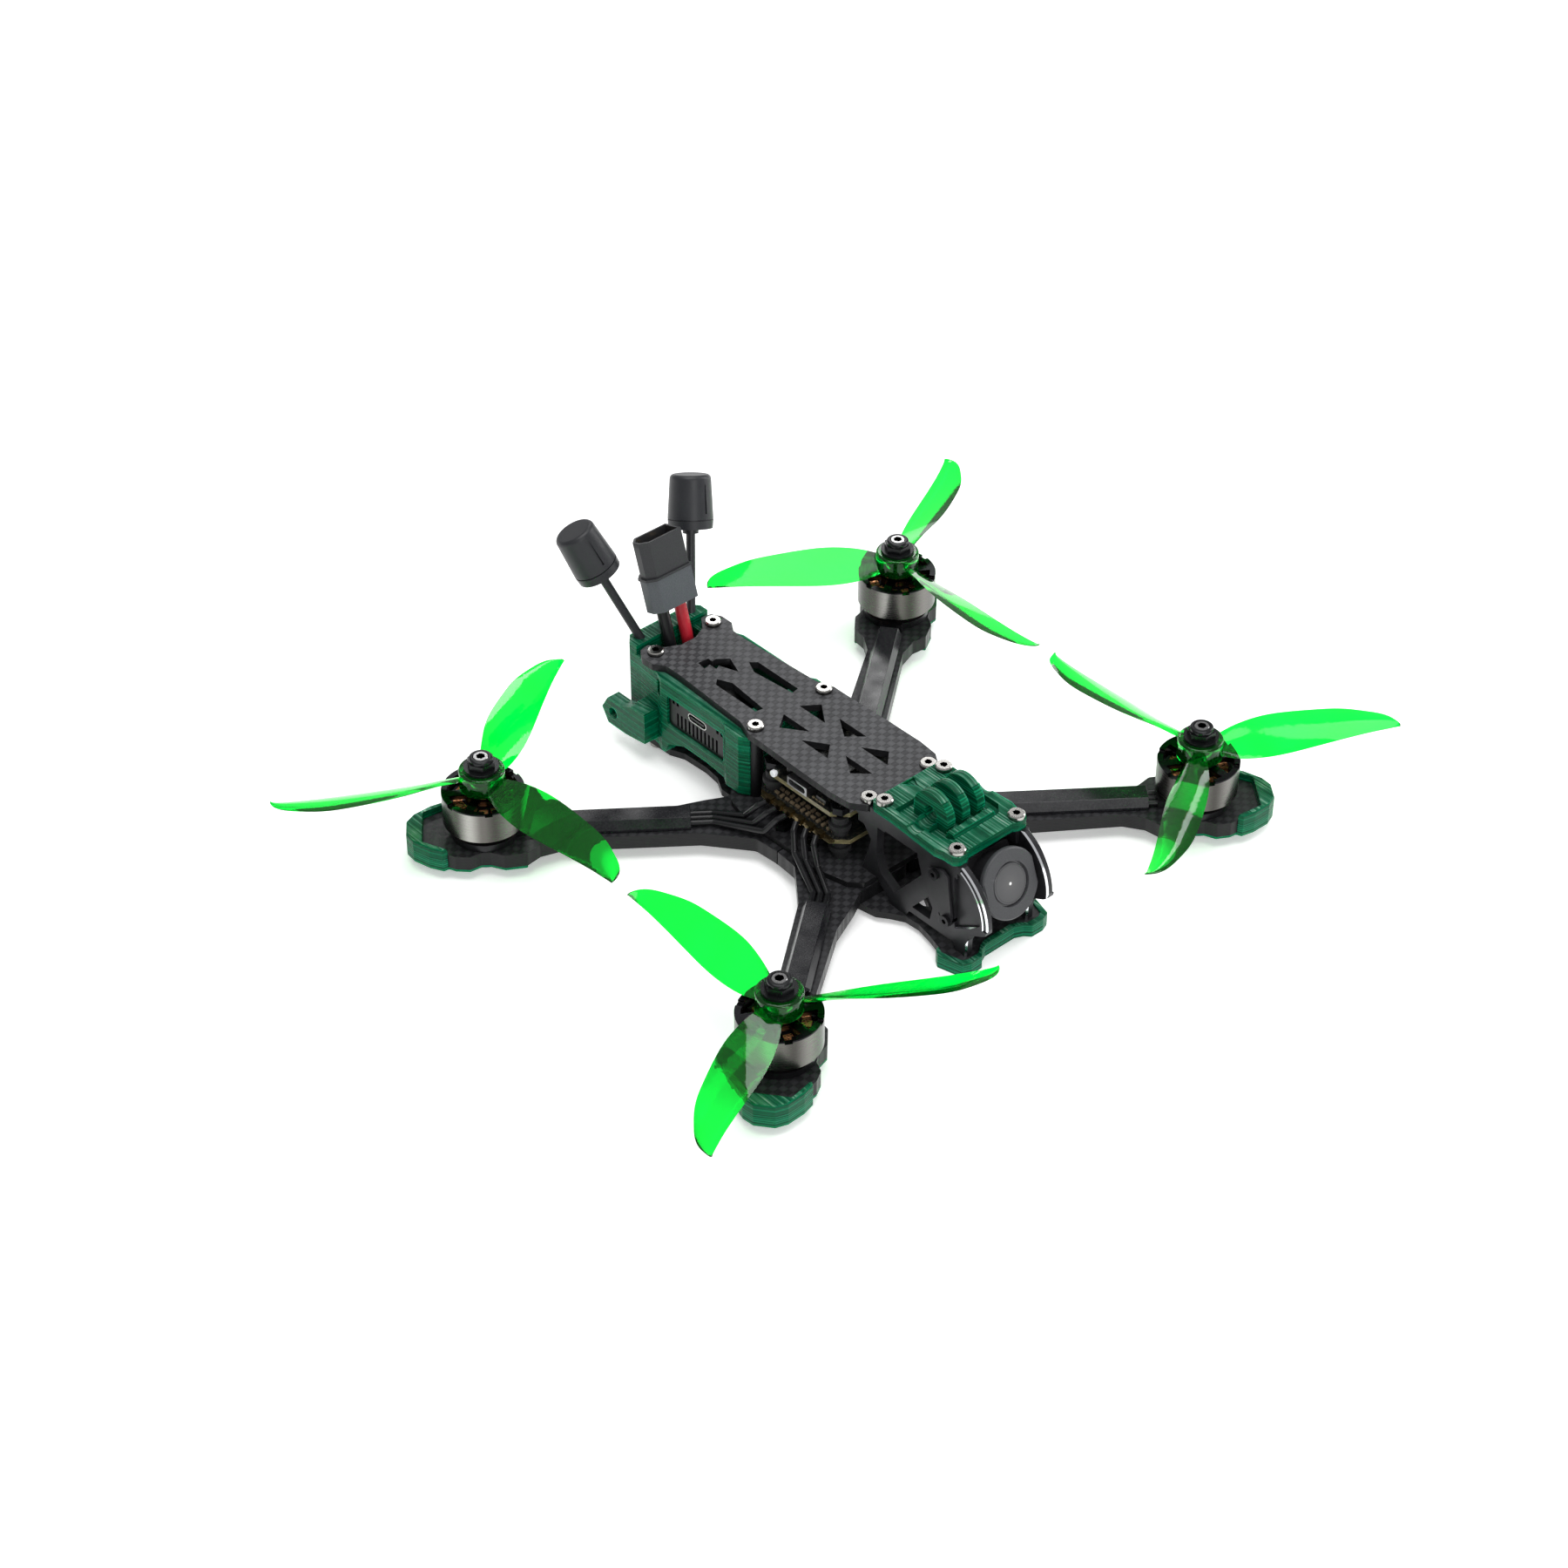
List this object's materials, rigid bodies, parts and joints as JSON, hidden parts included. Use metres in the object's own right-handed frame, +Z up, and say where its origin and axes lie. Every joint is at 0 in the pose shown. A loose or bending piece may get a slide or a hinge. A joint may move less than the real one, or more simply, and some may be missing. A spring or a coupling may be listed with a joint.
{
  "type": "quadcopter drone",
  "caption": "Small racing quadcopter with carbon arms, guarded motors, three-bladed propellers, tilting nose camera, action camera ears, rear antennas and battery plug.",
  "frame": {"origin": "on the ground under the point midway between the motors, on the underside of the belly pad", "axes": "+Z up, nose and camera towards -Y, the aircraft's left towards +X"},
  "size_m": [0.2908, 0.2103, 0.0807],
  "materials": {
    "carbon": "matte twill carbon fibre",
    "black_tube": "glossy dark",
    "green_tpu": "translucent flexible print with layer lines",
    "black_metal": "black anodised, bare bevelled edges on the side plates",
    "bell_metal": "brushed gunmetal",
    "steel": "polished steel",
    "prop_green": "translucent glossy",
    "copper": "enamelled wire",
    "laminate": "coated laminations",
    "pad_rubber": "soft matte",
    "camera_plastic": "fine matte",
    "lens_glass": "coated glass",
    "black_screws": "black oxide",
    "dark_case": "satin case",
    "circuit": "black circuit board with pale edges",
    "button_white": "gloss",
    "wire_black": "silicone sleeve",
    "wire_red": "silicone sleeve",
    "can": "sleeved can",
    "plug_black": "moulded, lower sleeve grey",
    "gold": "gold plated",
    "antenna_black": "fine matte"
  },
  "bodies": {
    "airframe": {"arm_fr": "carbon", "arm_fl": "carbon", "arm_rr": "carbon", "arm_rl": "carbon", "bottom_plate": "carbon", "mid_plate": "carbon", "top_plate": "carbon", "arm_covers": "black_tube", "arm_bumper_fr": "green_tpu", "arm_bumper_fl": "green_tpu", "arm_bumper_rr": "green_tpu", "arm_bumper_rl": "green_tpu", "front_bumper": "green_tpu", "action_cam_mount": "green_tpu", "rear_housing": "green_tpu", "motor_base_fr": "black_metal", "motor_base_fl": "black_metal", "motor_base_rr": "black_metal", "motor_base_rl": "black_metal", "side_plate_left": "black_metal", "side_plate_right": "black_metal", "standoffs": "black_metal", "frame_nuts": "black_metal", "frame_screws": "steel", "motor_coils": "copper", "motor_stators": "laminate", "landing_pads": "pad_rubber", "stack_grommets": "pad_rubber", "air_unit": "dark_case", "fc_board": "circuit", "esc_board": "circuit", "motor_wires": "wire_black", "lead_black": "wire_black", "lead_red": "wire_red", "capacitor": "can", "plug_body": "plug_black", "plug_pins": "gold", "antenna_left": "antenna_black", "antenna_right": "antenna_black"},
    "rotor_fr": {"bell_fr": "bell_metal", "shaft_fr": "steel", "propeller_fr": "prop_green", "lock_nut_fr": "black_metal"},
    "rotor_fl": {"bell_fl": "bell_metal", "shaft_fl": "steel", "propeller_fl": "prop_green", "lock_nut_fl": "black_metal"},
    "rotor_rr": {"bell_rr": "bell_metal", "shaft_rr": "steel", "propeller_rr": "prop_green", "lock_nut_rr": "black_metal"},
    "rotor_rl": {"bell_rl": "bell_metal", "shaft_rl": "steel", "propeller_rl": "prop_green", "lock_nut_rl": "black_metal"},
    "camera": {"camera_body": "camera_plastic", "camera_lens": "lens_glass", "camera_brackets": "camera_plastic", "camera_screws": "black_screws"},
    "boot_button": {"boot_button": "button_white"}
  },
  "joints": [
    {"name": "spin_fr", "type": "hinge", "parent": "airframe", "child": "rotor_fr", "pos_m": [-0.0887, -0.0692, 0.03], "axis": [0, 0, 1], "continuous": true},
    {"name": "spin_fl", "type": "hinge", "parent": "airframe", "child": "rotor_fl", "pos_m": [0.0887, -0.0692, 0.03], "axis": [0, 0, 1], "continuous": true},
    {"name": "spin_rr", "type": "hinge", "parent": "airframe", "child": "rotor_rr", "pos_m": [-0.0887, 0.0692, 0.03], "axis": [0, 0, 1], "continuous": true},
    {"name": "spin_rl", "type": "hinge", "parent": "airframe", "child": "rotor_rl", "pos_m": [0.0887, 0.0692, 0.03], "axis": [0, 0, 1], "continuous": true},
    {"name": "camera_tilt", "type": "hinge", "parent": "airframe", "child": "camera", "pos_m": [0, -0.0605, 0.0225], "axis": [-1, 0, 0], "range_deg": [-20, 5]},
    {"name": "boot_press", "type": "slide", "parent": "airframe", "child": "boot_button", "axis": [1, 0, 0], "range_m": [0, 0.0004], "stiffness_N_per_m": 500, "springref_m": -0.0008}
  ]
}
